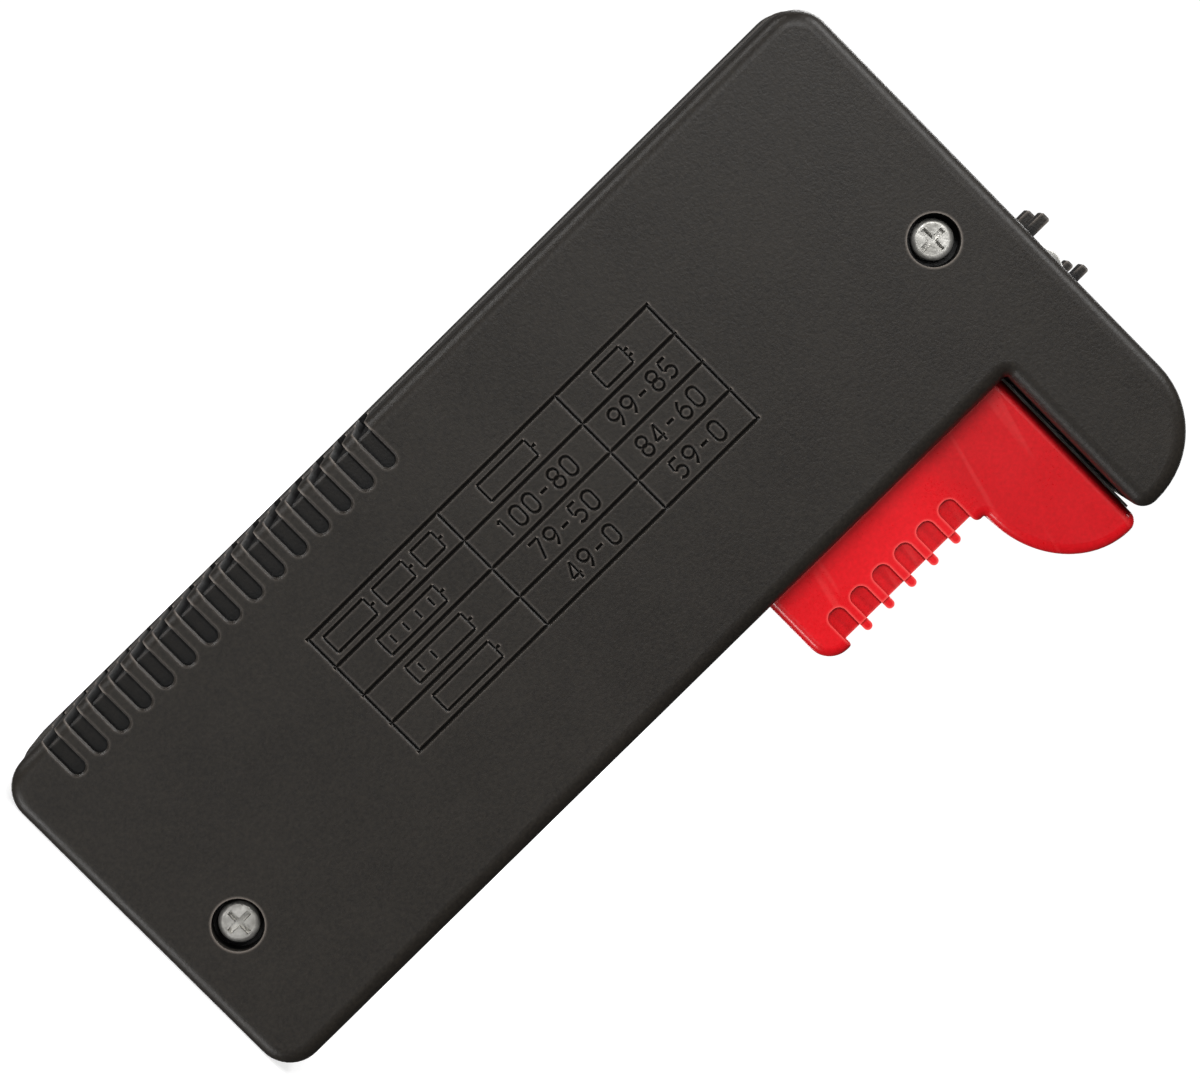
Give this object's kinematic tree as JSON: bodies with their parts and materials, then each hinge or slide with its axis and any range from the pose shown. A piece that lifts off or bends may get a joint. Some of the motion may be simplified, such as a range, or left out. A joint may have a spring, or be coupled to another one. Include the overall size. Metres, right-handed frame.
{
  "type": "battery tester",
  "caption": "Pocket analogue battery tester: two-part case with a fixed hook, a sprung slider that clamps a round cell, a pointer meter and a 9 V socket.",
  "frame": {"origin": "on the flat bottom end, at the centre of the whole footprint, hook and slider included", "axes": "+Z along the case's long axis towards the hook end, -Y out of the front with the meter, +Y out of the rear, hook and slider on the -X side"},
  "size_m": [0.061, 0.025, 0.1125],
  "materials": {
    "case_plastic": "fine matte moulding texture",
    "slider_plastic": "satin",
    "zinc_screw": "bright zinc",
    "contact_metal": "nickel plated",
    "brass": "satin",
    "bronze": "satin",
    "clear_pane": "clear",
    "label_sheet": "satin printed sheet",
    "dial_sheet": "matt printed",
    "inner_plastic": "matte",
    "soft_iron": "ground",
    "magnet": "ground",
    "copper_wire": "enamelled",
    "pointer_metal": "painted",
    "staff_steel": "polished",
    "board": "phenolic",
    "resistor_body": "lacquer",
    "lead_red": "insulated",
    "lead_black": "insulated",
    "spring_steel": "drawn wire"
  },
  "bodies": {
    "case": {"rear_cover": "case_plastic", "front_cover": "case_plastic", "case_screws": "zinc_screw", "jaw_contact": "contact_metal", "nine_volt_contact_positive": "contact_metal", "nine_volt_contact_negative": "contact_metal", "contact_rail": "brass", "meter_window": "clear_pane", "front_label": "label_sheet", "dial_plate": "dial_sheet", "dial_screws": "zinc_screw", "meter_frame": "inner_plastic", "meter_screws": "zinc_screw", "meter_yoke": "soft_iron", "magnet_core": "magnet", "core_supports": "brass", "front_bridge": "brass", "rear_bridge": "brass", "jewel_screws": "brass", "hairspring": "bronze", "terminal_board": "board", "board_screws": "zinc_screw", "cell_load_resistor": "resistor_body", "nine_volt_load_resistor": "resistor_body", "meter_series_resistor": "resistor_body", "slider_spring": "spring_steel", "jaw_lead": "lead_red", "rail_lead": "lead_black", "nine_volt_lead_positive": "lead_red", "nine_volt_lead_negative": "lead_black", "meter_lead_positive": "lead_red", "meter_lead_negative": "lead_black"},
    "slider": {"slider": "slider_plastic", "slider_contact": "contact_metal", "slider_keeper": "inner_plastic", "keeper_screws": "zinc_screw", "slider_wiper": "bronze"},
    "needle": {"moving_coil": "copper_wire", "pivot_staff": "staff_steel", "pointer": "pointer_metal", "pointer_weight": "bronze"}
  },
  "joints": [
    {"name": "slider_slide", "type": "slide", "parent": "case", "child": "slider", "axis": [0, 0, -1], "range_m": [0, 0.062], "stiffness_N_per_m": 25, "springref_m": -0.02, "deforming": ["slider_spring"]},
    {"name": "needle_swing", "type": "hinge", "parent": "case", "child": "needle", "pos_m": [0.01005, 0, 0.06], "axis": [0, 1, 0], "range_deg": [0, 80], "stiffness_Nm_per_rad": 0.0002, "springref_deg": -2.86}
  ]
}
